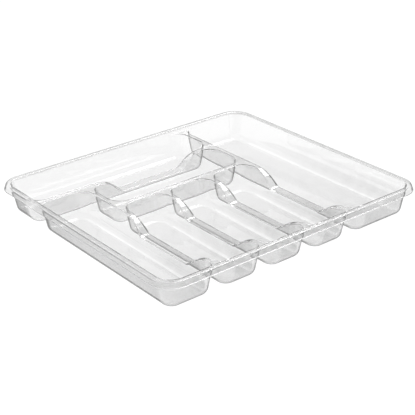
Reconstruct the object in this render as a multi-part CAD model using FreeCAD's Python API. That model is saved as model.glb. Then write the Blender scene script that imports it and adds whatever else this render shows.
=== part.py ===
"""Clear moulded cutlery tray with seven compartments, in millimetres.

The tray is one thin-walled moulding.  It is described region by region: seven
drafted tubs, the hollow dividers whose crests bridge from tub to tub, and the
rim with its turned-down skirt.  Neighbouring regions meet face to face.

Frame: +X along the long side, +Y from the near side to the far side, +Z up,
origin at the middle of the underside.
"""
import FreeCAD, Part
import math
import os

# Overall size and moulding
tray_length = 440.0
tray_depth = 394.0
tray_height = 44.0
wall = 1.8
draft_degrees = 10.5

# Rim
rim_land = 10.5
skirt_height = 7.5
rim_edge_radius = 4.0
rim_inner_edge_radius = 1.2

# Tubs
tub_corner_radius = 15.0
tub_floor_radius = 11.0

# Layout of the dividers: from the tray's edge, or the divider behind, to the middle of the crest
left_divider_setback = 91.3
right_divider_setback = 122.5
rear_divider_setback = 88.0
cross_divider_setback = 75.0
front_tub_count = 3

# Crests and the scoops that a hand reaches through
crest_land = 8.3
crest_drop = 6.0
crest_edge_radius = 1.5
scoop_depth = 20.5
scoop_near_setback = 7.0
scoop_near_radius = 75.0
scoop_far_radius = 47.0
rear_scoop_setback = 19.0
rear_scoop_radius = 42.0
scoop_root_radius = 9.0

# Length by which a cutting shape passes the face that it cuts
overrun = 4.0

# Sizes that follow from the ones above
slope = math.tan(math.radians(draft_degrees))
wall_run = wall / math.cos(math.radians(draft_degrees))
half_length = tray_length / 2
half_depth = tray_depth / 2
flange_underside = tray_height - wall
crest_height = tray_height - crest_drop
base_inset = rim_land - wall_run + tray_height * slope
rim_corner_radius = tub_corner_radius + base_inset
crest_gap = crest_land - 2 * wall_run
base_gap = crest_gap + 2 * crest_height * slope
corner_reach = crest_gap / 2 + tub_corner_radius + crest_height * slope

left_divider_x = left_divider_setback - half_length
right_divider_x = half_length - right_divider_setback
rear_divider_y = half_depth - rear_divider_setback
cross_divider_y = rear_divider_y - cross_divider_setback
divider_pitch = (right_divider_x - left_divider_x) / front_tub_count
inner_divider_xs = [left_divider_x + step * divider_pitch for step in range(1, front_tub_count)]


def rounded_rectangle(rect, radius, height):
    """Closed wire of four lines and four corner arcs at one height."""
    x0, x1, y0, y1 = rect
    corners = [(x1, y0, -90), (x1, y1, 0), (x0, y1, 90), (x0, y0, 180)]
    arcs = []
    for x, y, start in corners:
        inward_x = -radius if x == x1 else radius
        inward_y = -radius if y == y1 else radius
        centre = FreeCAD.Vector(x + inward_x, y + inward_y, height)
        circle = Part.Circle(centre, FreeCAD.Vector(0, 0, 1), radius)
        first, last = math.radians(start), math.radians(start + 90)
        arcs.append(Part.Arc(circle, first, last).toShape())
    edges = []
    for arc, following in zip(arcs, arcs[1:] + arcs[:1]):
        edges.append(arc)
        edges.append(Part.makeLine(arc.Vertexes[-1].Point, following.Vertexes[0].Point))
    return Part.Wire(Part.__sortEdges__(edges))


def grown(rect, amount):
    """Rectangle moved outward by an amount on all four sides."""
    x0, x1, y0, y1 = rect
    return x0 - amount, x1 + amount, y0 - amount, y1 + amount


def drafted_form(rect, bottom, top, inset):
    """Solid with drafted walls over a tub's base rectangle, moved in by an inset."""
    wires = []
    for height in (bottom, top):
        growth = height * slope - inset
        wires.append(rounded_rectangle(grown(rect, growth), tub_corner_radius + growth, height))
    return Part.makeLoft(wires, True, True)


def edges_at(shape, height):
    """Edges that lie wholly at one height."""
    tolerance = shape.BoundBox.ZLength * 1e-6
    found = []
    for edge in shape.Edges:
        box = edge.BoundBox
        if abs(box.ZMin - height) < tolerance and abs(box.ZMax - height) < tolerance:
            found.append(edge)
    return found


def tub_outside(rect, top):
    """Outer form of one tub, with its rounded bottom edge."""
    form = drafted_form(rect, 0, top, 0)
    return form.makeFillet(tub_floor_radius, edges_at(form, 0))


def tub_inside(rect):
    """Space inside one tub, from its floor to above the rim."""
    form = drafted_form(rect, wall, tray_height + overrun, wall_run)
    return form.makeFillet(tub_floor_radius - wall, edges_at(form, wall))


def face_normal(face, point):
    """Outward normal of a face at a point on it."""
    return face.normalAt(*face.Surface.parameter(point))


def crest_edges(tub):
    """Edges over which a tub's inner wall turns into the crests beside it."""
    wall_rise = math.sin(math.radians(draft_degrees))
    tolerance = 1e-6
    step = wall * tolerance ** 0.5
    found = []
    for edge in tub.Edges:
        faces = tub.ancestorsOfType(edge, Part.Face)
        if len(faces) != 2 or edge.BoundBox.ZMax > flange_underside - step:
            continue
        middle = edge.valueAt((edge.FirstParameter + edge.LastParameter) / 2)
        side, top = sorted((face_normal(face, middle) for face in faces), key=lambda normal: normal.z)
        if abs(side.z - wall_rise) > tolerance or top.z < wall_rise + step:
            continue
        # over a convex edge, a step up and away from the wall leaves the solid
        if not tub.isInside(middle + (top - side) * step, step * tolerance, False):
            found.append(edge)
    return found


def wall_place(half_size, height, grow):
    """Distance from the middle to an outer wall, on its inside when grow is 0."""
    return half_size - rim_land - (tray_height - height) * slope + grow / wall * wall_run


def scoop_curves(start, end, start_radius, end_radius, grow):
    """Edges of a scooped crest line, as (along, height) curves.

    The crest leaves its full height at start, rounds over and drops to the low
    land, then climbs back in the same way to reach full height at end.  A grow
    of one wall gives the underside of the same crest.
    """
    high = crest_height - grow
    low = crest_height - scoop_depth - grow
    root = scoop_root_radius + grow
    curves = []
    ends = []
    for place, radius, way in ((start, start_radius - grow, 1), (end, end_radius - grow, -1)):
        # the convex arc and the concave root arc touch where their centres line up
        rise = (low + root) - (high - radius)
        run = math.sqrt((radius + root) ** 2 - rise ** 2)
        touch_share = radius / (radius + root)
        lean = math.atan2(run, rise) / 2
        top = (place, high)
        shoulder = (place + way * radius * math.sin(lean), high - radius + radius * math.cos(lean))
        touch = (place + way * run * touch_share, high - radius + rise * touch_share)
        belly = (place + way * (run - root * math.sin(lean)), low + root - root * math.cos(lean))
        foot = (place + way * run, low)
        ends.append((top, shoulder, touch, belly, foot))
    first, second = ends
    curves.append(("arc", first[0], first[1], first[2]))
    curves.append(("arc", first[2], first[3], first[4]))
    curves.append(("line", first[4], second[4]))
    curves.append(("arc", second[4], second[3], second[2]))
    curves.append(("arc", second[2], second[1], second[0]))
    return curves


def prism(curves, to_point, sweep):
    """Solid swept from a closed profile of (along, height) curves."""
    edges = []
    for kind, *points in curves:
        places = [to_point(*point) for point in points]
        if kind == "arc":
            edges.append(Part.Arc(*places).toShape())
        else:
            edges.append(Part.makeLine(*places))
    return Part.Face(Part.Wire(edges)).extrude(sweep)


def closed_profile(start, end, crest_curves, top, start_wall, end_wall, grow):
    """Profile of the space above a crest line, closed at its ends and top.

    An end at an outer wall follows the drafted wall; other ends are upright.
    """
    high = crest_height - grow
    curves = []
    if crest_curves:
        first, last = crest_curves[0][1], crest_curves[-1][-1]
        if start < first[0]:
            curves.append(("line", (start, high), first))
        curves += crest_curves
        if last[0] < end:
            curves.append(("line", last, (end, high)))
    else:
        curves.append(("line", (start, high), (end, high)))
    end_top = end + (top - high) * slope if end_wall else end
    start_top = start - (top - high) * slope if start_wall else start
    curves.append(("line", (end, high), (end_top, top)))
    curves.append(("line", (end_top, top), (start_top, top)))
    curves.append(("line", (start_top, top), (start, high)))
    return curves


def crest_space(divider, grow):
    """Space above one divider's crest (grow 0) or above its underside (grow wall)."""
    top = flange_underside if grow else tray_height + overrun
    high = crest_height - grow
    start, end = divider["span"]
    half_size = half_length if divider["along"] == "x" else half_depth
    start_wall, end_wall = start is None, end is None
    if start_wall:
        start = -wall_place(half_size, high, grow)
    if end_wall:
        end = wall_place(half_size, high, grow)
    crest_curves = scoop_curves(*divider["scoop"], grow) if divider["scoop"] else []
    curves = closed_profile(start, end, crest_curves, top, start_wall, end_wall, grow)
    low_side = divider["middle"] - corner_reach
    if divider["along"] == "x":
        return prism(curves, lambda along, height: FreeCAD.Vector(along, low_side, height),
                     FreeCAD.Vector(0, 2 * corner_reach, 0))
    return prism(curves, lambda along, height: FreeCAD.Vector(low_side, along, height),
                 FreeCAD.Vector(2 * corner_reach, 0, 0))


def tub_rects():
    """Base rectangle of each tub, by name, from the divider layout."""
    gap = base_gap / 2
    near, far = base_inset - half_depth, half_depth - base_inset
    left, right = base_inset - half_length, half_length - base_inset
    xs = [left_divider_x] + inner_divider_xs + [right_divider_x]
    rects = {
        "rear_tub": (left, right_divider_x - gap, rear_divider_y + gap, far),
        "middle_tub": (left_divider_x + gap, right_divider_x - gap,
                       cross_divider_y + gap, rear_divider_y - gap),
        "left_tub": (left, left_divider_x - gap, near, rear_divider_y - gap),
        "right_tub": (right_divider_x + gap, right, near, far),
    }
    for number, (x0, x1) in enumerate(zip(xs, xs[1:]), start=1):
        rects["front_tub_%d" % number] = (x0 + gap, x1 - gap, near, cross_divider_y - gap)
    return rects


def dividers():
    """Each divider's middle line, direction, span and scoop; None ends at an outer wall."""
    near_start = scoop_near_setback - wall_place(half_depth, crest_height, 0)
    front_scoop = (near_start, cross_divider_y - corner_reach, scoop_near_radius, scoop_far_radius)
    rear_scoop = (left_divider_x + rear_scoop_setback, right_divider_x - corner_reach,
                  rear_scoop_radius, rear_scoop_radius)
    table = {
        "left_divider": dict(along="y", middle=left_divider_x, scoop=front_scoop,
                             span=(None, rear_divider_y - corner_reach)),
        "right_divider": dict(along="y", middle=right_divider_x, scoop=front_scoop, span=(None, None)),
        "cross_divider": dict(along="x", middle=cross_divider_y, scoop=None,
                              span=(left_divider_x + corner_reach, right_divider_x - corner_reach)),
        "rear_divider": dict(along="x", middle=rear_divider_y, scoop=rear_scoop,
                             span=(None, right_divider_x - corner_reach)),
    }
    for number, x in enumerate(inner_divider_xs, start=1):
        table["inner_divider_%d" % number] = dict(along="y", middle=x, scoop=front_scoop,
                                                  span=(None, cross_divider_y - corner_reach))
    return table


def rim():
    """Flat land round the mouth with its turned-down skirt."""
    skirt_bottom = tray_height - skirt_height
    outline = (-half_length, half_length, -half_depth, half_depth)
    outside = Part.Face(rounded_rectangle(outline, rim_corner_radius, skirt_bottom))
    outside = outside.extrude(FreeCAD.Vector(0, 0, skirt_height))
    outside = outside.makeFillet(rim_edge_radius, edges_at(outside, tray_height))
    hollow = Part.Face(rounded_rectangle(grown(outline, -wall), rim_corner_radius - wall,
                                         skirt_bottom - overrun))
    hollow = hollow.extrude(FreeCAD.Vector(0, 0, skirt_height + overrun - wall))
    hollow = hollow.makeFillet(rim_edge_radius - wall, edges_at(hollow, flange_underside))
    base = grown(outline, -base_inset)
    mouth = drafted_form(base, flange_underside - overrun, tray_height + overrun, wall_run)
    ring = outside.cut(hollow).cut(mouth)
    return ring.makeFillet(rim_inner_edge_radius, [edge for edge in edges_at(ring, tray_height)
                                                   if inside_mouth(edge)])


def inside_mouth(edge):
    """Whether an edge of the rim's top belongs to the mouth, not to the outer edge."""
    box = edge.BoundBox
    margin = (rim_edge_radius + rim_land) / 2
    reach_x = max(abs(box.XMin), abs(box.XMax))
    reach_y = max(abs(box.YMin), abs(box.YMax))
    return reach_x < half_length - margin and reach_y < half_depth - margin


def build():
    """All regions of the moulding, by name."""
    rects = tub_rects()
    layout = dividers()
    spaces = [crest_space(divider, 0) for divider in layout.values()]
    parts = {"rim": rim()}
    for name, rect in rects.items():
        tub = tub_outside(rect, flange_underside).cut([tub_inside(rect)] + spaces).removeSplitter()
        parts[name] = tub.makeFillet(crest_edge_radius, crest_edges(tub))
    cutters = [tub_outside(rect, tray_height) for rect in rects.values()]
    for name, divider in layout.items():
        parts[name] = crest_space(divider, wall).cut(cutters + spaces)
    return parts


os.makedirs("parts", exist_ok=True)
for name, shape in build().items():
    solid, = shape.removeSplitter().Solids
    if not solid.isValid():
        raise ValueError("%s is not a sound solid" % name)
    solid.exportStep("parts/%s.step" % name)
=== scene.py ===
"""Clear moulded cutlery tray on a pale studio floor.

The tray is one thin-walled moulding, so its look is one closed skin: an upper
face and an under face, one wall apart, joined round the rim's skirt.  Each face
starts as a flat net of points, drawn where the walls and edges will be, and a
node tree then lifts the net to its height.  Sizes are in millimetres until a
mesh is made.
"""
import logging
import math
from dataclasses import dataclass, field
from enum import Enum
from typing import Any, Iterator, Sequence

import bpy
import numpy as np
from mathutils import Matrix, Vector
from mathutils.geometry import delaunay_2d_cdt


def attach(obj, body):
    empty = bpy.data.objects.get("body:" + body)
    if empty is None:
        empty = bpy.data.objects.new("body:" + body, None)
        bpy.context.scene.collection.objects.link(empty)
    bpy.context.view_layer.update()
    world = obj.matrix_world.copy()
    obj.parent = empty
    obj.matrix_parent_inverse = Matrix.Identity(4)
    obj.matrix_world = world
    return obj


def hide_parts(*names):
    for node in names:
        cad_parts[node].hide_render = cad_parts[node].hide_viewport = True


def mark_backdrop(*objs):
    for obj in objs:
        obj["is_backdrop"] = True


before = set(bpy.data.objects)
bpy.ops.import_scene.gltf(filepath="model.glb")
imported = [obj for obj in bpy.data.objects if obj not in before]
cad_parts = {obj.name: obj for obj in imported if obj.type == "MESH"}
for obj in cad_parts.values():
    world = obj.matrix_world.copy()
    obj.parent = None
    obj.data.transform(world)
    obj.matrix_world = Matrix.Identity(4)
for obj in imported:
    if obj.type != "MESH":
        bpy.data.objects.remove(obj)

LOG = logging.getLogger("cutlery_tray")
MM = 0.001
IMAGE_SIDE = 415
# name of the painted shade stored on the skin's points
PAINTED_SHADE = "painted_shade"
Rect = tuple[float, float, float, float]
Faces = list[tuple[int, ...]]
Row = tuple[float, float, float]


class Face(Enum):
    """The two faces of the moulding's wall."""

    UPPER = "upper"
    UNDER = "under"


@dataclass(frozen=True)
class Scoop:
    """A low stretch of a divider's crest, between two rounded shoulders.

    Args:
        start: Place along the divider where the first shoulder begins.
        end: Place along the divider where the second shoulder ends.
        start_radius: Radius of the first shoulder.
        end_radius: Radius of the second shoulder.
    """

    start: float
    end: float
    start_radius: float
    end_radius: float

    def ends(self, grow: float = 0.0) -> tuple[Row, Row]:
        """Place, radius and inward direction of both shoulders, some distance below the crest."""
        return (self.start, self.start_radius - grow, 1.0), (self.end, self.end_radius - grow, -1.0)

    def height(self, along: np.ndarray, high: float, low: float, root: float, grow: float) -> np.ndarray:
        """Height of the crest line.

        Args:
            along: Places along the divider.
            high: Height outside the scoop.
            low: Height of the scoop's level part.
            root: Radius where a shoulder runs into the level part.
            grow: Distance below the crest's own surface.

        Returns:
            The height at each place.
        """
        heights = np.full(along.shape, low)
        for place, radius, way in self.ends(grow):
            rise = (low + root) - (high - radius)
            run = math.sqrt((radius + root) ** 2 - rise ** 2)
            inward = np.clip((along - place) * way, 0, run)
            shoulder = high - radius + np.sqrt(np.maximum(radius ** 2 - inward ** 2, 0))
            foot = low + root - np.sqrt(np.maximum(root ** 2 - (run - inward) ** 2, 0))
            touch = run * radius / (radius + root)
            heights = np.maximum(heights, np.where(inward < touch, shoulder, foot))
        return heights


@dataclass(frozen=True)
class TraySizes:
    """Sizes of the moulding, in millimetres and radians.

    The outline, walls, tubs and scoops are those of the solids.  The lean of the
    skirt and the radii of the small edges belong to the looks alone.

    Args:
        length: Length over the rim.
        depth: Depth over the rim.
        height: Height from under the floors to the rim's land.
        wall: Thickness of every wall.
        draft: Lean of the walls.
        rim_land: Width of the rim, from the mouth to its outline.
        skirt_height: Height of the rim's turned-down skirt.
        skirt_edge_radius: Radius of the skirt's lip.
        rim_edge_radius: Radius from the rim's land to its skirt.
        skirt_lean: Lean of the skirt.
        mouth_radius: Radius from the outer walls to the rim's land.
        corner_radius: Radius of a tub's corners, at its foot.
        floor_radius: Outer radius from a floor to its walls.
        left_setback: From the left of the rim to the left divider's middle.
        right_setback: From the right of the rim to the right divider's middle.
        rear_setback: From the back of the rim to the rear divider's middle.
        cross_setback: From the rear divider's middle to the cross divider's.
        front_tubs: Number of tubs between the left and right dividers.
        crest_land: Width of a crest.
        crest_drop: From the rim's land down to the level crests.
        crest_edge_radius: Radius from a tub's wall to a crest.
        crest_foot_radius: Radius from a crest up to an outer wall.
        scoop_depth: Depth of a scoop below the level crests.
        scoop_root_radius: Radius where a shoulder runs into a scoop's level part.
        scoop_near_setback: From the near wall to the near shoulders.
        scoop_near_radius: Radius of the near shoulders.
        scoop_far_radius: Radius of the shoulders by the cross divider.
        rear_scoop_setback: From the left divider's middle to the rear divider's scoop.
        rear_scoop_radius: Radius of the rear divider's shoulders.
    """

    length: float = 440.0
    depth: float = 394.0
    height: float = 44.0
    wall: float = 1.8
    draft: float = math.radians(10.5)
    rim_land: float = 10.5
    skirt_height: float = 7.5
    skirt_edge_radius: float = 0.3
    rim_edge_radius: float = 3.4
    skirt_lean: float = math.radians(22)
    mouth_radius: float = 2.2
    corner_radius: float = 15.0
    floor_radius: float = 11.0
    left_setback: float = 91.3
    right_setback: float = 122.5
    rear_setback: float = 88.0
    cross_setback: float = 75.0
    front_tubs: int = 3
    crest_land: float = 8.3
    crest_drop: float = 6.0
    crest_edge_radius: float = 2.2
    crest_foot_radius: float = 1.4
    scoop_depth: float = 20.5
    scoop_root_radius: float = 9.0
    scoop_near_setback: float = 7.0
    scoop_near_radius: float = 75.0
    scoop_far_radius: float = 47.0
    rear_scoop_setback: float = 19.0
    rear_scoop_radius: float = 42.0

    @property
    def slope(self) -> float:
        """Sideways run of a drafted wall for each unit of height."""
        return math.tan(self.draft)

    @property
    def wall_run(self) -> float:
        """Thickness of a drafted wall, measured level."""
        return self.wall / math.cos(self.draft)

    @property
    def turn(self) -> float:
        """Distance from a rounded edge's corner to its end, for a radius of one."""
        return math.tan((math.pi / 2 - self.draft) / 2)

    @property
    def crest_height(self) -> float:
        """Height of the level crests."""
        return self.height - self.crest_drop

    @property
    def base_inset(self) -> float:
        """Distance from the rim's outline to the foot of the outer walls."""
        return self.rim_land - self.wall_run + self.height * self.slope

    @property
    def skirt_outline(self) -> float:
        """Place of the skirt's outer face, along its own normal.

        Returns:
            Its distance from the foot of the outer walls.
        """
        small = self.skirt_edge_radius
        across = (self.base_inset - small) * math.cos(self.skirt_lean)
        above = (self.height - self.skirt_height + small) * math.sin(self.skirt_lean)
        return across + above + small

    @property
    def land_end(self) -> float:
        """Distance from the foot of the outer walls to where the rim's land turns down."""
        above = (self.height - self.rim_edge_radius) * math.sin(self.skirt_lean)
        return (self.skirt_outline - self.rim_edge_radius - above) / math.cos(self.skirt_lean)

    @property
    def base_gap(self) -> float:
        """Half the distance between two tubs at their feet."""
        return self.crest_land / 2 - self.wall_run + self.crest_height * self.slope

    @property
    def corner_reach(self) -> float:
        """Distance from a divider's middle to the centre of a tub's corner."""
        return self.base_gap + self.corner_radius

    @property
    def left_x(self) -> float:
        """Middle of the left divider."""
        return self.left_setback - self.length / 2

    @property
    def right_x(self) -> float:
        """Middle of the right divider."""
        return self.length / 2 - self.right_setback

    @property
    def rear_y(self) -> float:
        """Middle of the rear divider."""
        return self.depth / 2 - self.rear_setback

    @property
    def cross_y(self) -> float:
        """Middle of the cross divider."""
        return self.rear_y - self.cross_setback

    @property
    def front_places(self) -> np.ndarray:
        """Middles of the dividers on both sides of the front tubs, from the left."""
        return np.linspace(self.left_x, self.right_x, self.front_tubs + 1)

    @property
    def base(self) -> Rect:
        """Foot of the outer walls, all round the tray.

        Returns:
            Low x, high x, low y and high y.
        """
        half_length = self.length / 2 - self.base_inset
        half_depth = self.depth / 2 - self.base_inset
        return -half_length, half_length, -half_depth, half_depth

    @property
    def front_scoop(self) -> Scoop:
        """Scoop of the dividers that run to the near side."""
        wall_place = self.depth / 2 - self.rim_land - self.crest_drop * self.slope
        return Scoop(self.scoop_near_setback - wall_place, self.cross_y - self.corner_reach,
                     self.scoop_near_radius, self.scoop_far_radius)

    @property
    def rear_scoop(self) -> Scoop:
        """Scoop of the rear divider."""
        return Scoop(self.left_x + self.rear_scoop_setback, self.right_x - self.corner_reach,
                     self.rear_scoop_radius, self.rear_scoop_radius)

    def tubs(self) -> dict[str, Rect]:
        """Foot of each tub's walls.

        Returns:
            Low x, high x, low y and high y for each tub's name.
        """
        left, right, near, far = self.base
        gap = self.base_gap
        rects = {
            "rear": (left, self.right_x - gap, self.rear_y + gap, far),
            "middle": (self.left_x + gap, self.right_x - gap, self.cross_y + gap, self.rear_y - gap),
            "left": (left, self.left_x - gap, near, self.rear_y - gap),
            "right": (self.right_x + gap, right, near, far),
        }
        pairs = zip(self.front_places, self.front_places[1:])
        for number, (low, high) in enumerate(pairs, start=1):
            rects["front_%d" % number] = (low + gap, high - gap, near, self.cross_y - gap)
        return rects


def reach(points: np.ndarray, rect: Rect, radius: float) -> np.ndarray:
    """Level distance of points outside a round-cornered rectangle, negative inside.

    Args:
        points: Points as rows of x and y.
        rect: Low x, high x, low y and high y.
        radius: Radius of the corners.

    Returns:
        One distance for each point.
    """
    x0, x1, y0, y1 = rect
    across = np.abs(points[:, 0] - (x0 + x1) / 2) - ((x1 - x0) / 2 - radius)
    along = np.abs(points[:, 1] - (y0 + y1) / 2) - ((y1 - y0) / 2 - radius)
    outside = np.hypot(np.maximum(across, 0), np.maximum(along, 0))
    return outside + np.minimum(np.maximum(across, along), 0) - radius


def inside_loop(points: np.ndarray, loop: np.ndarray) -> np.ndarray:
    """Whether points lie inside a closed loop.

    Args:
        points: Points as rows of x and y.
        loop: The loop's corners in order.

    Returns:
        One truth value for each point.
    """
    found = np.zeros(len(points), bool)
    for (ax, ay), (bx, by) in zip(loop, np.roll(loop, -1, axis=0)):
        if ay == by:
            continue
        crosses = (ay > points[:, 1]) != (by > points[:, 1])
        found ^= crosses & (points[:, 0] < (bx - ax) * (points[:, 1] - ay) / (by - ay) + ax)
    return found


def between_loops(points: np.ndarray, outer: np.ndarray, holes: Sequence[np.ndarray]) -> np.ndarray:
    """Whether points lie inside an outer loop and outside every hole.

    Args:
        points: Points as rows of x and y.
        outer: Corners of the outer loop in order.
        holes: Corners of each hole in order.

    Returns:
        One truth value for each point.
    """
    found = inside_loop(points, outer)
    for hole in holes:
        found &= ~inside_loop(points, hole)
    return found


@dataclass(frozen=True)
class Stations:
    """Places along the sides where a net has a column of points.

    Args:
        sizes: Sizes of the moulding.
        fine: Spacing on the shoulders of the scoops.
        coarse: Spacing elsewhere.
        corner_steps: Steps round a corner.
        corner_gap: Least distance from a corner's own columns.
    """

    sizes: TraySizes
    fine: float = 2.6
    coarse: float = 11.0
    corner_steps: int = 11
    corner_gap: float = 1.0

    def along(self, scoop: Scoop, half: float) -> np.ndarray:
        """Places along one direction, closer together on a scoop's shoulders.

        Args:
            scoop: The scoop that runs in this direction.
            half: Half the tray's size in this direction.

        Returns:
            The places in order.
        """
        sizes = self.sizes
        low = sizes.crest_height - sizes.scoop_depth
        marks = [-half, scoop.start]
        for place, radius, way in scoop.ends():
            rise = low + sizes.scoop_root_radius - sizes.crest_height + radius
            marks.append(place + way * math.sqrt((radius + sizes.scoop_root_radius) ** 2 - rise ** 2))
        marks += [scoop.end, half]
        marks.sort()
        spacings = (self.coarse, self.fine, self.coarse, self.fine, self.coarse)
        places = [np.linspace(a, b, max(1, round((b - a) / step)), endpoint=False)
                  for a, b, step in zip(marks, marks[1:], spacings)]
        return np.concatenate(places)

    def columns(self, rect: Rect) -> tuple[np.ndarray, np.ndarray]:
        """Columns round a round-cornered rectangle, against the clock.

        Args:
            rect: Low x, high x, low y and high y.

        Returns:
            The columns' feet and their outward directions, as rows of x and y.
        """
        sizes = self.sizes
        x0, x1, y0, y1 = rect
        radius = sizes.corner_radius
        margin = radius + self.corner_gap
        xs = self.along(sizes.rear_scoop, sizes.length / 2)
        ys = self.along(sizes.front_scoop, sizes.depth / 2)
        xs = xs[(xs > x0 + margin) & (xs < x1 - margin)]
        ys = ys[(ys > y0 + margin) & (ys < y1 - margin)]
        sides = [
            (np.column_stack([xs, np.full(xs.shape, y0)]), (x1 - radius, y0 + radius), -90),
            (np.column_stack([np.full(ys.shape, x1), ys]), (x1 - radius, y1 - radius), 0),
            (np.column_stack([xs[::-1], np.full(xs.shape, y1)]), (x0 + radius, y1 - radius), 90),
            (np.column_stack([np.full(ys.shape, x0), ys[::-1]]), (x0 + radius, y0 + radius), 180),
        ]
        feet, ways = [], []
        for side, centre, start in sides:
            angles = np.radians(np.linspace(start, start + 90, self.corner_steps + 1))
            turns = np.column_stack([np.cos(angles), np.sin(angles)])
            feet += [side, np.array(centre) + radius * turns]
            ways += [np.repeat(turns[:1], len(side), axis=0), turns]
        return np.concatenate(feet), np.concatenate(ways)


@dataclass
class Net:
    """A flat net of points and faces, which a node tree lifts.

    Args:
        points: Points as rows of x and y.
        faces: Faces as tuples of point numbers, against the clock.
        edge: Numbers of the points round the outer edge.
    """

    points: np.ndarray
    faces: Faces
    edge: np.ndarray


def grid_faces(first: int, columns: int, rows: int) -> Faces:
    """Faces of a closed ring of columns, numbered column by column.

    Args:
        first: Number of the first point.
        columns: Columns in the ring.
        rows: Points in a column.

    Returns:
        Four-sided faces, against the clock when rows run outward.
    """
    faces = []
    for column in range(columns):
        here, there = first + column * rows, first + (column + 1) % columns * rows
        for row in range(rows - 1):
            faces.append((here + row, here + row + 1, there + row + 1, there + row))
    return faces


@dataclass
class WallFace:
    """One face of the moulding's wall: where it lies and how its net is drawn.

    Args:
        sizes: Sizes of the moulding.
        stations: Places of the net's columns.
        face: Which of the two faces.
        wall_shares: Rows up a tub's wall, as shares of its flat stretch.
        bend_steps: Steps from a floor to its wall.
        edge_steps: Steps round a small edge.
        strip: Width of the narrow faces that keep a rounded edge's shading to itself.
        band_rise: Height above the level crests where the band round the rim begins.
        land_step: Spacing of the points on the crests' open land.
        foot_step: Spacing of the points where that land meets the outer walls.
        clear_share: Least distance of a land's point from its border, as a share of the strip.
        search_multiple: How far out a column's end is looked for, in multiples of the corner's reach.
        crest_tries: Rounds in which a column finds the height of its crest.
        halvings: Rounds in which a column finds its end.
        merge: Distance under which points of the land are one.
    """

    sizes: TraySizes
    stations: Stations
    face: Face
    wall_shares: tuple[float, ...] = (0.06, 0.35, 0.65, 0.94)
    bend_steps: int = 8
    edge_steps: int = 5
    strip: float = 0.4
    band_rise: float = 3.0
    land_step: float = 3.2
    foot_step: float = 2.6
    clear_share: float = 0.8
    search_multiple: float = 3.0
    crest_tries: int = 3
    halvings: int = 40
    merge: float = 1e-6

    def __post_init__(self) -> None:
        """Work out the face's own sizes from the moulding's."""
        sizes = self.sizes
        under = self.face is Face.UNDER
        self.grow = sizes.wall if under else 0.0
        self.inset = 0.0 if under else sizes.wall_run
        self.floor_height = 0.0 if under else sizes.wall
        self.floor_radius = sizes.floor_radius - self.floor_height
        self.edge_radius = sizes.crest_edge_radius - self.grow
        self.foot_radius = sizes.crest_foot_radius + self.grow
        self.mouth_radius = sizes.mouth_radius - self.grow
        self.rim_height = sizes.height - self.grow
        bend_top = self.floor_height + self.floor_radius * (1 - math.sin(sizes.draft))
        self.wall_foot = bend_top * sizes.slope - self.inset
        self.floor_edge = self.wall_foot - self.floor_radius * math.cos(sizes.draft)
        self.band_start = (sizes.crest_height + self.band_rise) * sizes.slope - self.inset

    def crest(self, points: np.ndarray) -> np.ndarray:
        """Height of this face on the dividers' crests.

        Args:
            points: Points as rows of x and y.

        Returns:
            One height for each point.
        """
        sizes = self.sizes
        x, y = points.T
        high = sizes.crest_height - self.grow
        low = high - sizes.scoop_depth
        root = sizes.scoop_root_radius + self.grow
        heights = np.full(len(points), high)
        beside = (x > sizes.left_x - sizes.corner_reach) & (x < sizes.right_x + sizes.corner_reach)
        front = beside & (y < sizes.cross_y)
        rear = np.abs(y - sizes.rear_y) < sizes.corner_reach
        heights[front] = sizes.front_scoop.height(y[front], high, low, root, self.grow)
        heights[rear] = sizes.rear_scoop.height(x[rear], high, low, root, self.grow)
        return heights

    def edge_rows(self, place: np.ndarray, radius: float) -> np.ndarray:
        """Places of the rows over a rounded edge.

        Args:
            place: Distance of the sharp edge that the radius rounds, for each column.
            radius: Radius of the edge.

        Returns:
            Distances, a row for each column, from the wall to the level top.
        """
        end = place + self.sizes.turn * radius
        angles = np.linspace(math.pi / 2 - self.sizes.draft, 0, self.edge_steps + 1)
        return end[:, None] - radius * np.sin(angles)[None, :]

    def tub_rows(self, feet: np.ndarray, ways: np.ndarray) -> np.ndarray:
        """Places of a tub's rows, from its floor to the crests beside it.

        Args:
            feet: Feet of the columns.
            ways: Outward directions of the columns.

        Returns:
            Distances outward from the feet, a row for each column.
        """
        sizes = self.sizes
        edge = np.full(len(feet), sizes.crest_height * sizes.slope - self.inset)
        for _ in range(self.crest_tries):
            edge = self.crest(feet + ways * edge[:, None]) * sizes.slope - self.inset
        angles = np.linspace(0, math.pi / 2 - sizes.draft, self.bend_steps + 1)
        bend = self.floor_edge + self.floor_radius * np.sin(angles)
        bend = np.concatenate([[self.floor_edge - 2 * self.strip], bend])
        bend = np.repeat(bend[None, :], len(feet), axis=0)
        rounded = self.edge_rows(edge, self.edge_radius)
        shares = np.array(self.wall_shares)
        flat = self.wall_foot + (rounded[:, :1] - self.wall_foot) * shares[None, :]
        above = np.hstack([flat, rounded, rounded[:, -1:] + self.strip])
        # by an outer wall the rows draw together, to end short of the band round the rim
        limit = self.band_start - self.strip
        low, high = np.zeros(len(feet)), np.full(len(feet), self.search_multiple * sizes.corner_reach)
        for _ in range(self.halvings):
            middle = (low + high) / 2
            short = reach(feet + ways * middle[:, None], sizes.base, sizes.corner_radius) < limit
            low, high = np.where(short, middle, low), np.where(short, high, middle)
        room = (low - self.wall_foot) / (above[:, -1] - self.wall_foot)
        above = self.wall_foot + (above - self.wall_foot) * np.minimum(room, 1)[:, None]
        return np.hstack([bend, above])

    def band_rows(self) -> np.ndarray:
        """Places of the rows from the outer wall's top to the edge of the rim's land.

        Returns:
            Distances outward from the foot of the outer walls.
        """
        sizes = self.sizes
        sharp = np.array([self.rim_height * sizes.slope - self.inset])
        mouth = self.edge_rows(sharp, self.mouth_radius)[0]
        end = sizes.land_end
        return np.concatenate([[self.band_start], mouth, [mouth[-1] + self.strip, end - self.strip, end]])

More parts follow.
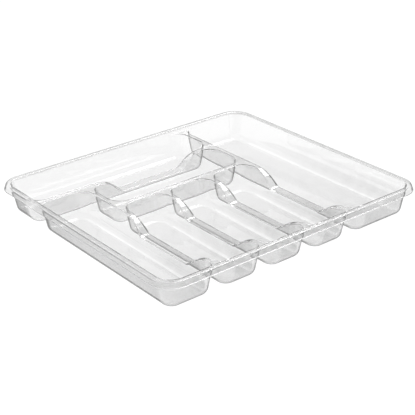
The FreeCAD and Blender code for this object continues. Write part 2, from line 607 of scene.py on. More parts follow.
    def land_points(self) -> np.ndarray:
        """Points on the crests' open land and where it turns up into the outer walls.

        Returns:
            Points as rows of x and y, also outside the land.
        """
        sizes = self.sizes
        x0, x1, y0, y1 = sizes.base
        step = self.land_step
        xs, ys = np.arange(x0, x1, step), np.arange(y0, y1, step * math.sqrt(3) / 2)
        grid = np.array([(x + step / 2 * (number % 2), y) for number, y in enumerate(ys) for x in xs])
        foot = (sizes.crest_height - self.grow) * sizes.slope - self.inset
        start = foot - sizes.turn * self.foot_radius
        angles = np.linspace(0, math.pi / 2 - sizes.draft, self.edge_steps + 1)
        feet, ways = Stations(sizes, self.foot_step, self.foot_step).columns(sizes.base)
        turns = [feet + ways * place for place in start + self.foot_radius * np.sin(angles)]
        return np.concatenate([grid] + turns)

    def net(self) -> Net:
        """Flat net of the whole face, out to the edge of the rim's land.

        Returns:
            The net, with the edge of the rim's land as its edge.
        """
        points: list[np.ndarray] = []
        faces: Faces = []
        loops: list[np.ndarray] = []
        count = 0
        for rect in self.sizes.tubs().values():
            feet, ways = self.stations.columns(rect)
            rows = self.tub_rows(feet, ways)
            points.append((feet[:, None, :] + ways[:, None, :] * rows[:, :, None]).reshape(-1, 2))
            starts = count + np.arange(len(feet)) * rows.shape[1]
            faces += grid_faces(count, *rows.shape)
            faces.append(tuple(starts.tolist()))
            loops.append(starts + rows.shape[1] - 1)
            count += rows.size
        feet, ways = self.stations.columns(self.sizes.base)
        rows = self.band_rows()
        points.append((feet[:, None, :] + ways[:, None, :] * rows[None, :, None]).reshape(-1, 2))
        starts = count + np.arange(len(feet)) * len(rows)
        faces += grid_faces(count, len(feet), len(rows))
        drawn = np.concatenate(points)
        land, land_faces = self.land(drawn, starts, loops)
        return Net(np.concatenate([drawn, land]), faces + land_faces, starts + len(rows) - 1)

    def land(self, drawn: np.ndarray, outer: np.ndarray,
             holes: Sequence[np.ndarray]) -> tuple[np.ndarray, Faces]:
        """Triangles that fill the land between the tubs and the band round the rim.

        Args:
            drawn: Points of the net so far.
            outer: Numbers of the points round the land.
            holes: Numbers of the points round each tub.

        Returns:
            The land's own points, and its faces by point number.
        """
        loops = [outer, *holes]
        border = np.concatenate(loops)
        bounds = drawn[outer], [drawn[hole] for hole in holes]
        free = self.land_points()
        free = free[between_loops(free, *bounds)]
        gaps = np.min(np.hypot(*(free[:, None, :] - drawn[border][None, :, :]).transpose(2, 0, 1)), axis=1)
        free = free[gaps > self.clear_share * self.strip]
        numbers = np.concatenate([border, len(drawn) + np.arange(len(free))])
        places = np.concatenate([drawn[border], free])
        edges, first = [], 0
        for loop in loops:
            edges += [(first + step, first + (step + 1) % len(loop)) for step in range(len(loop))]
            first += len(loop)
        vectors = [Vector(place) for place in places]
        _, _, found, sources, _, _ = delaunay_2d_cdt(vectors, edges, [], 0, self.merge)
        triangles = np.array([[sources[corner][0] for corner in face] for face in found])
        keep = between_loops(places[triangles].mean(axis=1), *bounds)
        return free, [tuple(face) for face in numbers[triangles[keep]].tolist()]


def add_node(tree: bpy.types.NodeTree, kind: str, inputs: dict[Any, Any] | None = None,
             **settings: Any) -> bpy.types.Node:
    """Add a node with its settings and links.

    Args:
        tree: The tree that gets the node.
        kind: Blender's name for the node.
        inputs: Value, or socket to link, for each input by name or number.
        settings: The node's own settings.

    Returns:
        The new node.
    """
    node = tree.nodes.new(kind)
    for name, value in settings.items():
        setattr(node, name, value)
    for key, value in (inputs or {}).items():
        if isinstance(value, bpy.types.NodeSocket):
            tree.links.new(value, node.inputs[key])
        else:
            node.inputs[key].default_value = value
    return node


def empty_tree(block: bpy.types.Material | bpy.types.World) -> bpy.types.NodeTree:
    """Node tree of a material or world, with nothing in it yet.

    Args:
        block: The material or world.

    Returns:
        Its tree.
    """
    block.use_nodes = True
    block.node_tree.nodes.clear()
    return block.node_tree


def add_object(name: str, data: bpy.types.ID) -> bpy.types.Object:
    """Add an object to the scene.

    Args:
        name: Name of the object.
        data: Its mesh, light or camera.

    Returns:
        The object, at the origin.
    """
    added = bpy.data.objects.new(name, data)
    bpy.context.scene.collection.objects.link(added)
    return added


class HeightRule:
    """Node tree that lifts a flat net to the height of one face of the wall.

    A point's height follows from three distances that the net carries: how far
    it is outside the nearest tub, how far outside the foot of the outer walls,
    and how high the crest is there.
    """

    SIZES = ("Floor height", "Floor radius", "Floor edge", "Wall foot", "Inset", "Slope", "Turn", "Lean",
             "Edge radius", "Foot radius", "Mouth radius", "Rim height")
    CARRIED = ("reach", "outer reach", "crest")
    LEAST = 1e-6

    def __init__(self, material: bpy.types.Material) -> None:
        """Build the tree.

        Args:
            material: Material that the lifted face gets.
        """
        tree = bpy.data.node_groups.new("tray_height_rule", "GeometryNodeTree")
        sockets = tree.interface
        sockets.new_socket("Geometry", in_out="INPUT", socket_type="NodeSocketGeometry")
        sockets.new_socket("Geometry", in_out="OUTPUT", socket_type="NodeSocketGeometry")
        self.identifiers = {
            name: sockets.new_socket(name, in_out="INPUT", socket_type="NodeSocketFloat").identifier
            for name in self.SIZES}
        given = add_node(tree, "NodeGroupInput")
        values = {name: given.outputs[name] for name in self.SIZES}
        for name in self.CARRIED:
            stored = add_node(tree, "GeometryNodeInputNamedAttribute", {"Name": name}, data_type="FLOAT")
            values[name] = next(socket for socket in stored.outputs if socket.enabled)
        for name, operation, *operands in self.steps():
            inputs = {number: values.get(operand, operand) for number, operand in enumerate(operands)}
            values[name] = add_node(tree, "ShaderNodeMath", inputs, operation=operation).outputs[0]
        offset = add_node(tree, "ShaderNodeCombineXYZ", {"Z": values["height"]}).outputs[0]
        moved = add_node(tree, "GeometryNodeSetPosition", {
            "Geometry": given.outputs["Geometry"], "Offset": offset})
        whole = add_node(tree, "GeometryNodeRealizeInstances", {"Geometry": moved.outputs[0]})
        dressed = add_node(tree, "GeometryNodeSetMaterial", {
            "Geometry": whole.outputs[0], "Material": material})
        add_node(tree, "NodeGroupOutput", {"Geometry": dressed.outputs[0]})
        self.tree = tree

    @staticmethod
    def arc(name: str, radius: str, offset: str) -> list[tuple[Any, ...]]:
        """Steps for the height of an arc over its centre.

        Args:
            name: Name of the result.
            radius: Name of the arc's radius.
            offset: Name of the level distance from the arc's centre.

        Returns:
            Math steps that give the height.
        """
        return [
            (name + " square", "MULTIPLY", offset, offset),
            (name + " radius square", "MULTIPLY", radius, radius),
            (name + " rest", "SUBTRACT", name + " radius square", name + " square"),
            (name + " rest", "MAXIMUM", name + " rest", 0.0),
            (name, "SQRT", name + " rest"),
        ]

    def rounded_over(self, name: str, radius: str, distance: str, wall: str, top: str,
                     result: str) -> Iterator[tuple[Any, ...]]:
        """Steps for a drafted wall that is rounded over into a top.

        Args:
            name: Name of the rounded edge.
            radius: Name of its radius.
            distance: Name of the distance outside the wall's foot.
            wall: Name of the wall's height.
            top: Name of the top's height.
            result: Name of the height with the edge.

        Returns:
            Math steps that give the result.
        """
        yield name + " turn", "MULTIPLY", radius, "Turn"
        yield name + " place", "MULTIPLY", top, "Slope"
        yield name + " place", "SUBTRACT", name + " place", "Inset"
        yield name + " end", "ADD", name + " place", name + " turn"
        yield name + " lean", "MULTIPLY", name + " turn", "Lean"
        yield name + " start", "SUBTRACT", name + " place", name + " lean"
        yield name + " run", "SUBTRACT", name + " end", distance
        yield name + " run", "MAXIMUM", name + " run", 0.0
        yield from self.arc(name, radius, name + " run")
        yield name, "SUBTRACT", name, radius
        yield name, "ADD", name, top
        yield name + " past", "GREATER_THAN", distance, name + " start"
        yield name + " gain", "SUBTRACT", name, wall
        yield result, "MULTIPLY_ADD", name + " past", name + " gain", wall

    def steps(self) -> Iterator[tuple[Any, ...]]:
        """Math steps of the rule, in order.

        Returns:
            The name of each step's result, its operation and what that works on.
        """
        # floor, rounded bottom edge and drafted wall of a tub
        yield "wall", "ADD", "reach", "Inset"
        yield "wall", "DIVIDE", "wall", "Slope"
        yield "bend run", "SUBTRACT", "reach", "Floor edge"
        yield "bend run", "MAXIMUM", "bend run", 0.0
        yield from self.arc("bend", "Floor radius", "bend run")
        yield "bend", "SUBTRACT", "Floor radius", "bend"
        yield "bend", "ADD", "bend", "Floor height"
        yield "on wall", "GREATER_THAN", "reach", "Wall foot"
        yield "tub gain", "SUBTRACT", "wall", "bend"
        yield "tub", "MULTIPLY_ADD", "on wall", "tub gain", "bend"
        # outer wall, rounded over into the rim's land
        yield "outer", "ADD", "outer reach", "Inset"
        yield "outer", "DIVIDE", "outer", "Slope"
        yield from self.rounded_over("mouth", "Mouth radius", "outer reach", "outer", "Rim height", "outer")
        # where a crest's land runs out by an outer wall, its rounded edges shrink to nothing
        yield "land", "SUBTRACT", "reach", "outer reach"
        yield "land", "MULTIPLY", "land", 0.5
        yield "land", "MAXIMUM", "land", self.LEAST
        yield "foot radius", "MINIMUM", "land", "Foot radius"
        yield "edge radius", "MINIMUM", "land", "Edge radius"
        # a crest, turned up at its foot into the outer wall
        yield "foot turn", "MULTIPLY", "foot radius", "Turn"
        yield "foot edge", "MULTIPLY", "crest", "Slope"
        yield "foot edge", "SUBTRACT", "foot edge", "Inset"
        yield "foot start", "SUBTRACT", "foot edge", "foot turn"
        yield "foot end", "MULTIPLY_ADD", "foot turn", "Lean", "foot edge"
        yield "foot run", "SUBTRACT", "outer reach", "foot start"
        yield "foot run", "MAXIMUM", "foot run", 0.0
        yield from self.arc("foot", "foot radius", "foot run")
        yield "foot", "SUBTRACT", "foot radius", "foot"
        yield "foot", "ADD", "foot", "crest"
        yield "past foot", "GREATER_THAN", "outer reach", "foot end"
        yield "foot gain", "SUBTRACT", "outer", "foot"
        yield "top", "MULTIPLY_ADD", "past foot", "foot gain", "foot"
        # a tub's wall, rounded over into the crest
        yield from self.rounded_over("edge", "edge radius", "reach", "tub", "top", "height")

    def lift(self, face: WallFace, net: Net) -> np.ndarray:
        """Lift a net to its face's height.

        Args:
            face: The face that the net belongs to.
            net: The flat net.

        Returns:
            The lifted points in metres, in the net's order.
        """
        sizes = face.sizes
        flat = np.column_stack([net.points * MM, np.zeros(len(net.points))])
        mesh = bpy.data.meshes.new("net")
        mesh.from_pydata(flat.tolist(), [], net.faces)
        rects = sizes.tubs().values()
        tubs = np.min([reach(net.points, rect, sizes.corner_radius) for rect in rects], axis=0)
        outer = reach(net.points, sizes.base, sizes.corner_radius)
        for name, values in zip(self.CARRIED, (tubs, outer, face.crest(net.points))):
            carried = mesh.attributes.new(name, "FLOAT", "POINT")
            carried.data.foreach_set("value", (values * MM).astype(np.float32))
        sheet = add_object("net", mesh)
        modifier = sheet.modifiers.new("height", "NODES")
        modifier.node_group = self.tree
        lengths = (face.floor_height, face.floor_radius, face.floor_edge, face.wall_foot, face.inset)
        radii = (face.edge_radius, face.foot_radius, face.mouth_radius, face.rim_height)
        given = [*(v * MM for v in lengths), sizes.slope, sizes.turn, math.sin(sizes.draft),
                 *(v * MM for v in radii)]
        for name, value in zip(self.SIZES, given):
            modifier[self.identifiers[name]] = value
        graph = bpy.context.evaluated_depsgraph_get()
        lifted = bpy.data.meshes.new_from_object(sheet.evaluated_get(graph))
        places = np.empty(len(lifted.vertices) * 3, np.float32)
        lifted.vertices.foreach_get("co", places)
        bpy.data.objects.remove(sheet)
        bpy.data.meshes.remove(lifted)
        bpy.data.meshes.remove(mesh)
        return places.reshape(-1, 3)


def linear(hex_colour: str) -> tuple[float, float, float, float]:
    """Linear colour of an sRGB hex value.

    Args:
        hex_colour: Colour such as "#F4F4F2".

    Returns:
        Red, green, blue and an alpha of one.
    """
    parts = [int(hex_colour[place:place + 2], 16) / 255 for place in (1, 3, 5)]
    red, green, blue = (p / 12.92 if p <= 0.04045 else ((p + 0.055) / 1.055) ** 2.4 for p in parts)
    return red, green, blue, 1.0


@dataclass(frozen=True)
class ClearPolystyrene:
    """General-purpose polystyrene from a polished mould: hard, bright and water-clear.

    The eye sees sharp highlights and strong bending of what lies behind, with
    slow ripples where the melt flowed.  Painted shade greys it by place in soft
    clouds and darkens faces seen edge-on.

    Args:
        ior: How strongly it bends light.
        tint: Colour of what a clear face lets through.
        edge: Colour of the painted shade, reached where a face is seen edge-on or has its full painted
            shade.
        edge_power: How nearly edge-on a face has to be seen before painted shade darkens it.
        edge_strength: How dark the painted shade makes a face seen edge-on.
        roughness: Blur of its polish.
        floor_roughness: Blur of the finely textured floors.
        floor_top_mm: Height up to which the texture runs.
        ripple_mm: Width of the flow ripples.
        ripple_height_mm: Height of the ripples.
        ripple_detail: How many finer ripples lie on them.
        mottle_mm: Width of the clouds in the painted shade.
        mottle_detail: How many finer clouds lie in them.
        mottle_swing: How far the clouds change the painted shade, as a part of it.
        noise_low: Value of the clouds' noise where the painted shade is thin.
        noise_high: Value of that noise where the painted shade is thick.
        loss_per_metre: Light lost inside the plastic.
    """

    ior: float = 1.59
    tint: str = "#F6F6F6"
    edge: str = "#101010"
    edge_power: float = 12.0
    edge_strength: float = 130.0
    roughness: float = 0.02
    floor_roughness: float = 0.08
    floor_top_mm: float = 1.9
    ripple_mm: float = 38.0
    ripple_height_mm: float = 0.05
    ripple_detail: float = 1.0
    mottle_mm: float = 16.0
    mottle_detail: float = 3.0
    mottle_swing: float = 0.25
    noise_low: float = 0.3
    noise_high: float = 0.7
    loss_per_metre: float = 4.0

    def material(self) -> bpy.types.Material:
        """Material of the moulding.

        Returns:
            The material, which reads the painted shade stored on the skin's points.
        """
        material = bpy.data.materials.new("clear_polystyrene_polished")
        tree = empty_tree(material)
        place = add_node(tree, "ShaderNodeTexCoord").outputs["Object"]
        ripple = add_node(tree, "ShaderNodeTexNoise", {
            "Vector": place, "Scale": 1 / (self.ripple_mm * MM), "Detail": self.ripple_detail})
        bump = add_node(tree, "ShaderNodeBump", {
            "Height": ripple.outputs[0], "Strength": 1.0, "Distance": self.ripple_height_mm * MM})
        rise = add_node(tree, "ShaderNodeSeparateXYZ", {0: place}).outputs["Z"]
        blur = add_node(tree, "ShaderNodeMapRange", {
            "Value": rise, "From Min": self.floor_top_mm * MM, "From Max": 2 * self.floor_top_mm * MM,
            "To Min": self.floor_roughness, "To Max": self.roughness})
        # the painted shade stored on the points, uneven in soft clouds
        stored = add_node(tree, "ShaderNodeAttribute", attribute_name=PAINTED_SHADE).outputs["Fac"]
        clouds = add_node(tree, "ShaderNodeTexNoise", {
            "Vector": place, "Scale": 1 / (self.mottle_mm * MM), "Detail": self.mottle_detail})
        uneven = add_node(tree, "ShaderNodeMapRange", {
            "Value": clouds.outputs[0], "From Min": self.noise_low, "From Max": self.noise_high,
            "To Min": 1 - self.mottle_swing, "To Max": 1 + self.mottle_swing}, clamp=False)
        painted_shade = add_node(tree, "ShaderNodeMath", {0: stored, 1: uneven.outputs[0]}, operation="MULTIPLY")
        # painted shade: a face darkens where it is seen edge-on, and by the stored amount
        facing = add_node(tree, "ShaderNodeLayerWeight").outputs["Facing"]
        edge_on = add_node(tree, "ShaderNodeMath", {0: facing, 1: self.edge_power}, operation="POWER")
        dark = add_node(tree, "ShaderNodeMath", {
            0: edge_on.outputs[0], 1: self.edge_strength, 2: painted_shade.outputs[0]},
            operation="MULTIPLY_ADD", use_clamp=True)
        # the plastic's tint, darkened by the painted shade towards the edge colour
        # a mix of colours has them on inputs 6 and 7, and its result on output 2
        colour = add_node(tree, "ShaderNodeMix", {
            0: dark.outputs[0], 6: linear(self.tint), 7: linear(self.edge)}, data_type="RGBA")
        shader = add_node(tree, "ShaderNodeBsdfPrincipled", {
            "Base Color": colour.outputs[2], "Roughness": blur.outputs[0], "IOR": self.ior,
            "Transmission Weight": 1.0, "Normal": bump.outputs[0]})
        body = add_node(tree, "ShaderNodeVolumeAbsorption", {
            "Color": linear("#000000"), "Density": self.loss_per_metre})
        add_node(tree, "ShaderNodeOutputMaterial", {"Surface": shader.outputs[0], "Volume": body.outputs[0]})
        return material


@dataclass(frozen=True)
class LitFloor:
    """White opal acrylic sheet of a light table: matt, and lit evenly from below.

    The eye sees a plain pale floor with hardly any shadow on it.

    Args:
        colour: Colour of the sheet's surface.
        glow: Brightness of the light that comes through it.
        mottle_mm: Width of the sheet's faint mottling.
        least_roughness: Blur where the mottling is smoothest.
        most_roughness: Blur where it is roughest.
    """

    colour: str = "#5C5C5C"
    glow: float = 0.97
    mottle_mm: float = 60.0
    least_roughness: float = 0.7
    most_roughness: float = 0.9

    def material(self) -> bpy.types.Material:
        """Material of the floor.

        Returns:
            The material.
        """
        material = bpy.data.materials.new("opal_acrylic_lit")
        tree = empty_tree(material)
        place = add_node(tree, "ShaderNodeTexCoord").outputs["Object"]
        mottle = add_node(tree, "ShaderNodeTexNoise", {"Vector": place, "Scale": 1 / (self.mottle_mm * MM)})
        blur = add_node(tree, "ShaderNodeMapRange", {
            "Value": mottle.outputs[0], "To Min": self.least_roughness, "To Max": self.most_roughness})
        shader = add_node(tree, "ShaderNodeBsdfPrincipled", {
            "Base Color": linear(self.colour), "Roughness": blur.outputs[0], "Specular IOR Level": 0.0,
            "Emission Color": linear("#FFFFFF"), "Emission Strength": self.glow})
        add_node(tree, "ShaderNodeOutputMaterial", {"Surface": shader.outputs[0]})
        return material


@dataclass(frozen=True)
class Fade:
    """A share that falls from all to none over a stretch.

    Args:
        end: Value at which nothing is left.
        run: Length of the stretch.
    """

    end: float
    run: float

    def share(self, values: np.ndarray, shift: np.ndarray | float = 0.0) -> np.ndarray:
        """Share at each value, with the stretch moved up by a shift."""
        return np.clip((self.end + shift - values) / self.run, 0, 1)


@dataclass(frozen=True)
class PaintedShade:
    """Painted shade on the skin, which differs from place to place.

    An amount is how far the painted shade takes a face's colour from the plastic's
    tint towards its edge colour.  A negative amount holds the painted shade off, so
    a face stays clear where it is seen edge-on.

    Args:
        clear: Amount on the upper face, the lip and the back of the skirt, low enough
            that no painted shade falls there, so the lip shows as a light line.
        wall: Painted shade on the near outer walls.
        wall_depth: How it fades from the near side to the far side.
        wall_height: How it fades below the skirt.
        left_ease: Amount that the left wall has less.
        left_shift: How much nearer the fade lies on the left wall.
        inside: How far inside the outer walls the dividers' and floors' amounts take over.
        hollow: Painted shade on the dividers' walls at the near side.
        floor: Painted shade on the floors at the near side.
        floor_depth: How these two fade towards the far side.
        floor_height: How the floor's amount fades up the walls.
        gap: Amount on the walls that turn into the gap between two tubs, low enough to
        hold the painted shade off there.
        gap_length: How far such a gap reaches inside the outer walls.
        gap_height: How the floor's or wall's amount returns towards the foot of the gap.
        land_height: Height above which a face belongs to the rim's land.
        near_land: Painted shade under the land on the near and left sides.
        far_land: Painted shade under the land on the far and right sides.
        bend: Painted shade round the rim's outer edge on the near and left sides.
        skirt: Painted shade down the skirt on these sides.
        far_gain: How much more, as a part, the edge and skirt have on the other sides.
        sides: How the near and left sides end, by x and y together.
    """

    clear: float = -6.0
    wall: float = 0.22
    wall_depth: Fade = Fade(110.0, 200.0)
    wall_height: Fade = Fade(30.0, 1.2)
    left_ease: float = 0.06
    left_shift: float = 90.0
    inside: Fade = Fade(-12.0, 10.0)
    hollow: float = 0.19
    floor: float = 0.45
    floor_depth: Fade = Fade(20.0, 217.0)
    floor_height: Fade = Fade(20.0, 8.0)
    gap: float = -2.5
    gap_length: float = 30.0
    gap_height: Fade = Fade(22.0, 14.0)
    land_height: float = 41.0
    near_land: float = 0.10
    far_land: float = 0.32
    bend: float = 0.08
    skirt: float = 0.13
    far_gain: float = 2.0
    sides: Fade = Fade(40.0, 80.0)

    def far(self, points: np.ndarray) -> np.ndarray:
        """Share by which points belong to the far and right sides."""
        return 1 - self.sides.share(points[:, 0] + points[:, 1])

    def on_rim(self, ring: np.ndarray, amount: float) -> np.ndarray:
        """Painted shade along a row round the rim, from the amount on its near and left sides."""
        gain = self.far_gain if amount > 0 else 0.0
        return amount * (1 + gain * self.far(ring))

    def on_under_face(self, points: np.ndarray, sizes: TraySizes) -> np.ndarray:
        """Painted shade on the under face.

        Args:
            points: Points as rows of x, y and z.
            sizes: Sizes of the moulding.

        Returns:
            One amount for each point.
        """
        x, y, z = points.T
        left_foot, _, near_foot, _ = sizes.base
        # painted shade on the outer walls, most on the near side
        left = Fade(left_foot + sizes.corner_radius, sizes.corner_radius).share(x)
        amount = self.wall * self.wall_depth.share(y, -self.left_shift * left) * self.wall_height.share(z)
        amount -= self.left_ease * left
        # painted shade on the dividers and floors, most at the near side
        inward = self.inside.share(reach(points[:, :2], sizes.base, sizes.corner_radius))
        near = self.floor_depth.share(y)
        amount += (self.hollow * near - amount) * inward
        on_floor = amount + (self.floor * near - amount) * self.floor_height.share(z)
        amount = np.where(inward > 0, on_floor, amount)
        # painted shade held off in the gaps between tubs, along the near and left walls
        across = np.abs(x[:, None] - sizes.front_places).min(axis=1)
        across = np.where(y < near_foot + self.gap_length, across, np.inf)
        along = np.where(x < left_foot + self.gap_length, np.abs(y - sizes.rear_y), np.inf)
        in_gap = Fade(sizes.corner_reach, sizes.corner_reach / 2).share(np.minimum(across, along))
        amount += (self.gap - amount) * in_gap * (1 - self.gap_height.share(z))
        on_land = self.near_land + (self.far_land - self.near_land) * self.far(points)
        return np.where(z > self.land_height, on_land, amount)


def edge_turn(distance: float, height: float, radius: float, angles: np.ndarray, amount: float) -> list[Row]:
    """Rows round a small edge of the rim.

    Args:
        distance: Distance of the edge's centre outside the foot of the outer walls.
        height: Height of the centre.
        radius: Radius of the edge.
        angles: Angle of each row from straight up.
        amount: Amount of painted shade.

    Returns:
        Distance, height and amount of each row.
    """
    return [(distance + radius * math.sin(a), height + radius * math.cos(a), amount) for a in angles]


@dataclass
class TrayMoulding:
    """The whole tray as one closed skin.

    Args:
        sizes: Sizes of the moulding.
        finish: What it is made of.
        painted_shade: Painted shade on the skin.
        edge_steps: Steps round each of the rim's edges.
        shaded_shares: Rows down the skirt with painted shade, as shares of its flat stretch.
        clear_share: Share of that stretch at which the lip without painted shade begins.
    """

    sizes: TraySizes = field(default_factory=TraySizes)
    finish: ClearPolystyrene = field(default_factory=ClearPolystyrene)
    painted_shade: PaintedShade = field(default_factory=PaintedShade)
    edge_steps: int = 7
    shaded_shares: tuple[float, ...] = (0.1, 0.5, 0.76)
    clear_share: float = 0.82

    def __post_init__(self) -> None:
        """Place the columns of both faces and of the skirt."""
        self.stations = Stations(self.sizes)

    def skirt_rows(self) -> list[Row]:
        """Rows round the rim's edge and skirt, between the two faces of its land.

        Returns:
            Distance outside the foot of the outer walls, height and painted shade of each row.
        """
        sizes, painted_shade = self.sizes, self.painted_shade
        lean, lip, radius = sizes.skirt_lean, sizes.skirt_edge_radius, sizes.rim_edge_radius
        bend = np.linspace(0, math.pi / 2 - lean, self.edge_steps + 1)
        outward = np.linspace(math.pi / 2 - lean, math.pi, self.edge_steps)
        inward = np.linspace(math.pi, 1.5 * math.pi - lean, self.edge_steps)
        bend_height = sizes.height - radius
        lip_height = sizes.height - sizes.skirt_height + lip
        outer = sizes.base_inset - lip
        inner = outer - (sizes.wall - 2 * lip) / math.cos(lean)
        top = edge_turn(sizes.land_end, bend_height, radius, bend[1:], painted_shade.bend)
        foot = edge_turn(outer, lip_height, lip, outward, painted_shade.clear)
        (top_x, top_z, _), (foot_x, foot_z, _) = top[-1], foot[0]
        amounts = [(share, painted_shade.skirt) for share in self.shaded_shares] + [(self.clear_share, painted_shade.clear)]
        flat = [(top_x + (foot_x - top_x) * share, top_z + (foot_z - top_z) * share, amount)
                for share, amount in amounts]
        back = edge_turn(inner, lip_height, lip, inward, painted_shade.clear)
        under = edge_turn(sizes.land_end, bend_height, radius - sizes.wall, bend[:0:-1], painted_shade.clear)
        return top + flat + foot + back + under

    def lifted_faces(self, rule: HeightRule) -> tuple[list[np.ndarray], Faces, list[np.ndarray]]:
        """The wall's two faces, out to the edge of the rim's land.

        Args:
            rule: Rule that lifts their nets.

        Returns:
            Points of each face in metres, faces of both, and the point numbers round each edge.
        """
        points: list[np.ndarray] = []
        faces: Faces = []
        edges: list[np.ndarray] = []
        count = 0
        for side in Face:
            face = WallFace(self.sizes, self.stations, side)
            net = face.net()
            points.append(rule.lift(face, net))
            turned = [f[::-1] for f in net.faces] if side is Face.UNDER else net.faces
            faces += [tuple(count + corner for corner in f) for f in turned]
            edges.append(count + net.edge)
            count += len(net.points)
        return points, faces, edges

    def build(self) -> bpy.types.Object:
        """Build the skin and dress it.

        Returns:
            The tray's object, at the origin.
        """
        material = self.finish.material()
        points, faces, edges = self.lifted_faces(HeightRule(material))
        upper, under = points
        # painted shade for each point: held off on the upper face, set by place on the under face and round
        # the rim
        amounts = [np.full(len(upper), self.painted_shade.clear), self.painted_shade.on_under_face(under / MM, self.sizes)]
        count = len(upper) + len(under)
        feet, ways = self.stations.columns(self.sizes.base)
        rings = [edges[0]]
        for distance, height, amount in self.skirt_rows():
            ring = feet + ways * distance
            points.append(np.column_stack([ring, np.full(len(ring), height)]) * MM)
            amounts.append(self.painted_shade.on_rim(ring, amount))
            rings.append(count + np.arange(len(ring)))
            count += len(ring)
        rings.append(edges[1])
        for inner, outer in zip(rings, rings[1:]):
            quads = np.column_stack([inner, outer, np.roll(outer, -1), np.roll(inner, -1)])
            faces += [tuple(quad) for quad in quads.tolist()]
        mesh = bpy.data.meshes.new("tray_moulding")
        mesh.from_pydata(np.concatenate(points).tolist(), [], faces)
        mesh.materials.append(material)
        mesh.polygons.foreach_set("use_smooth", [True] * len(mesh.polygons))
        # the painted shade, stored on the points for the material to read
        stored = mesh.attributes.new(PAINTED_SHADE, "FLOAT", "POINT")
        stored.data.foreach_set("value", np.concatenate(amounts).astype(np.float32))
        mesh.update()
        return add_object("tray_moulding", mesh)


@dataclass(frozen=True)
class Panel:
    """Soft square light panel that faces the tray.

    Args:
        name: Name of the panel.
        place: Its middle, in metres.
        side: Its width and height, in metres.
        watts: Its power.
    """

    name: str
    place: tuple[float, float, float]
    side: float
    watts: float

    def build(self) -> bpy.types.Object:
        """Hang the panel.

        Returns:
            The panel.
        """
        data = bpy.data.lights.new(self.name, "AREA")
        data.shape = "RECTANGLE"
        data.size = data.size_y = self.side
        data.energy = self.watts
        panel = add_object(self.name, data)
        panel.location = self.place
        panel.rotation_euler = (-Vector(self.place)).to_track_quat("-Z", "Y").to_euler()
        return panel


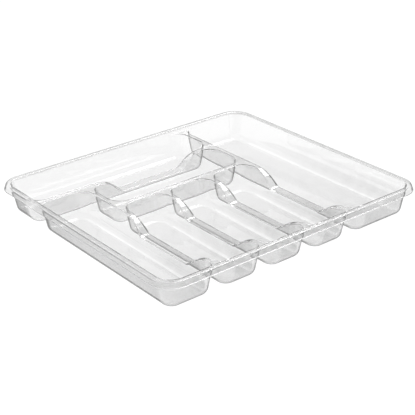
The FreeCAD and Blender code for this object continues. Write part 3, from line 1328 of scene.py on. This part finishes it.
@dataclass
class Studio:
    """Floor, lights and camera.

    Args:
        azimuth: Degrees that the camera stands to the side of the near face.
        elevation: Degrees that it looks down.
        roll: Degrees that it is turned about its own axis.
        focal_pixels: Focal length in pixels of the image.
        distance: Distance from the camera to the point that it looks at.
        target: The point that it looks at.
        sensor_mm: Width of the camera's sensor.
        view_limit: Distance that the camera sees, in metres.
        near_glow: Brightness of the surroundings on the camera's side.
        far_glow: Brightness of the backdrop beyond the tray.
        glow_range: Facing towards the backdrop at which its glow begins and is full.
        backdrop_rise: Rise of the backdrop's middle for each unit of distance.
        panels: The light panels.
        floor_half: Half the floor's width, in metres.
        floor_drop: Distance of the floor under the tray, in metres, so that the faces don't coincide.
        bounces: Times that light may pass from face to face in the clear walls.
    """

    azimuth: float = -38.476
    elevation: float = 25.874
    roll: float = -0.955
    focal_pixels: float = 1128.0
    distance: float = 1482.5
    target: tuple[float, float, float] = (-48.85, -61.27, 44.0)
    sensor_mm: float = 36.0
    view_limit: float = 100.0
    near_glow: float = 0.55
    far_glow: float = 0.9
    glow_range: tuple[float, float] = (0.1, 0.8)
    backdrop_rise: float = 0.5
    panels: tuple[Panel, ...] = (
        Panel("right_panel", (0.86, 0.3, 1.3), 0.9, 11.0),
        Panel("far_panel", (-0.05, 1.12, 1.14), 0.7, 1.2),
        Panel("mid_panel", (0.5, 0.8, 1.3), 0.6, 1.2),
    )
    floor_half: float = 6.0
    floor_drop: float = 0.0003
    bounces: int = 96

    def camera(self) -> bpy.types.Object:
        """Camera at the photograph's view.

        Returns:
            The scene's camera.
        """
        a, e, r = (math.radians(v) for v in (self.azimuth, self.elevation, self.roll))
        back = Vector((math.sin(a) * math.cos(e), -math.cos(a) * math.cos(e), math.sin(e)))
        right = (-back).cross(Vector((0, 0, 1))).normalized()
        up = right.cross(-back)
        right, up = right * math.cos(r) + up * math.sin(r), up * math.cos(r) - right * math.sin(r)
        data = bpy.data.cameras.new("camera")
        data.sensor_width = self.sensor_mm
        data.lens = data.sensor_width * self.focal_pixels / IMAGE_SIDE
        data.clip_end = self.view_limit
        camera = add_object("camera", data)
        turn = Matrix((right, up, back)).transposed().to_4x4()
        camera.matrix_world = Matrix.Translation((Vector(self.target) + back * self.distance) * MM) @ turn
        bpy.context.scene.camera = camera
        return camera

    def floor(self) -> bpy.types.Object:
        """Wide pale floor under the tray.

        Returns:
            Nothing, as marking the floor as backdrop gives nothing back.
        """
        half = self.floor_half
        corner_points = [(-half, -half, 0), (half, -half, 0), (half, half, 0), (-half, half, 0)]
        mesh = bpy.data.meshes.new("studio_floor")
        mesh.from_pydata(corner_points, [], [(0, 1, 2, 3)])
        mesh.materials.append(LitFloor().material())
        floor = add_object("studio_floor", mesh)
        floor.location.z = -self.floor_drop
        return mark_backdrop(floor)

    def world(self) -> bpy.types.World:
        """Pale backdrop beyond the tray, with darker surroundings that draw lines in bent walls.

        Returns:
            The scene's world.
        """
        world = bpy.data.worlds.new("studio")
        tree = empty_tree(world)
        way = add_node(tree, "ShaderNodeTexCoord").outputs["Generated"]
        away = math.radians(self.azimuth)
        beyond = Vector((-math.sin(away), math.cos(away), self.backdrop_rise)).normalized()
        facing = add_node(tree, "ShaderNodeVectorMath", {0: way, 1: beyond}, operation="DOT_PRODUCT")
        start, full = self.glow_range
        glow = add_node(tree, "ShaderNodeMapRange", {
            "Value": facing.outputs["Value"], "From Min": start, "From Max": full,
            "To Min": self.near_glow, "To Max": self.far_glow}, interpolation_type="SMOOTHSTEP")
        light = add_node(tree, "ShaderNodeBackground", {
            "Color": linear("#FFFFFF"), "Strength": glow.outputs[0]})
        add_node(tree, "ShaderNodeOutputWorld", {"Surface": light.outputs[0]})
        bpy.context.scene.world = world
        return world

    def build(self) -> None:
        """Set the studio up."""
        self.floor()
        self.world()
        for panel in self.panels:
            panel.build()
        self.camera()
        scene = bpy.context.scene
        scene.view_settings.view_transform = "Standard"
        scene.cycles.max_bounces = self.bounces
        scene.cycles.transmission_bounces = self.bounces
        scene.cycles.glossy_bounces = self.bounces


def main() -> None:
    """Build the tray and the studio, and note the sizes."""
    logging.basicConfig(level=logging.INFO, format="%(name)s: %(message)s")
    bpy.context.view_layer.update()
    tray = TrayMoulding().build()
    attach(tray, "root")
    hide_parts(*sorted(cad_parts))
    LOG.info("%s: %d points, %d faces", tray.name, len(tray.data.vertices), len(tray.data.polygons))
    Studio().build()


if __name__ == "__main__":
    main()
